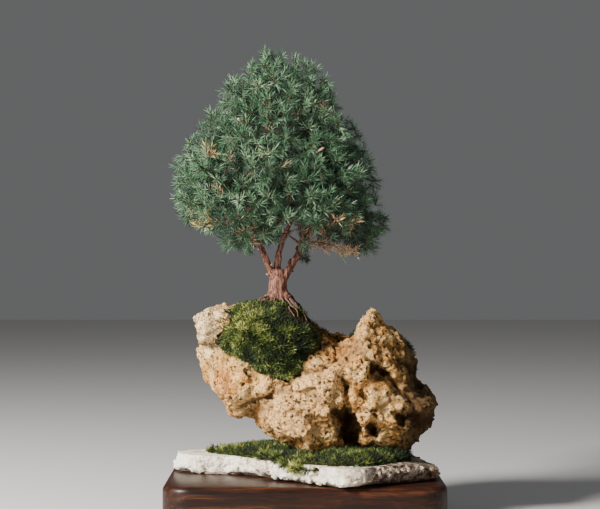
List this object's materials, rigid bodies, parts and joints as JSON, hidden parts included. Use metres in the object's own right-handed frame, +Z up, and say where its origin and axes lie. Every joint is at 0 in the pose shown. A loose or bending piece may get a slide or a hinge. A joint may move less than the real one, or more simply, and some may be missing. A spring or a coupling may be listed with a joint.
{
  "type": "juniper bonsai",
  "caption": "Juniper bonsai growing in moss on a pitted limestone rock, which stands on a pale stone slab over a low wooden stand.",
  "frame": {"origin": "middle of the stand's flat underside, on the surface it stands on", "axes": "+Z up, +X to the right and -Y towards the viewer of the planting's front"},
  "size_m": [0.3291, 0.2516, 0.562],
  "materials": {
    "wood": "dark red-brown polished hardwood with a soft gloss",
    "slab_stone": "rough pale limestone with chipped edges",
    "rock_stone": "dry pitted limestone, cream with ochre patches",
    "moss": "short dense moss, matt",
    "soil": "damp dark planting soil",
    "bark": "peeling reddish-brown bark",
    "needles": "blue-green needles with a silvery bloom"
  },
  "bodies": {
    "root": {"stand": "wood", "slab": "slab_stone", "rock": "rock_stone", "moss_mat": "moss", "soil": "soil", "moss_mound": "moss", "trunk": "bark", "spray_01": "needles", "spray_02": "needles", "spray_03": "needles", "spray_04": "needles", "spray_05": "needles", "spray_06": "needles", "spray_07": "needles", "spray_08": "needles", "spray_09": "needles", "spray_10": "needles", "spray_11": "needles", "spray_12": "needles", "spray_13": "needles", "spray_14": "needles", "spray_15": "needles", "spray_16": "needles", "spray_17": "needles", "spray_18": "needles", "spray_19": "needles", "spray_20": "needles", "spray_21": "needles", "spray_22": "needles", "spray_23": "needles", "spray_24": "needles", "spray_25": "needles", "spray_26": "needles", "spray_27": "needles", "spray_28": "needles", "spray_29": "needles", "spray_30": "needles", "spray_31": "needles", "spray_32": "needles", "spray_33": "needles", "spray_34": "needles", "spray_35": "needles", "spray_36": "needles", "spray_37": "needles", "spray_38": "needles", "spray_39": "needles", "spray_40": "needles", "spray_41": "needles", "spray_42": "needles", "spray_43": "needles", "spray_44": "needles", "spray_45": "needles", "spray_46": "needles", "spray_47": "needles"}
  },
  "joints": []
}
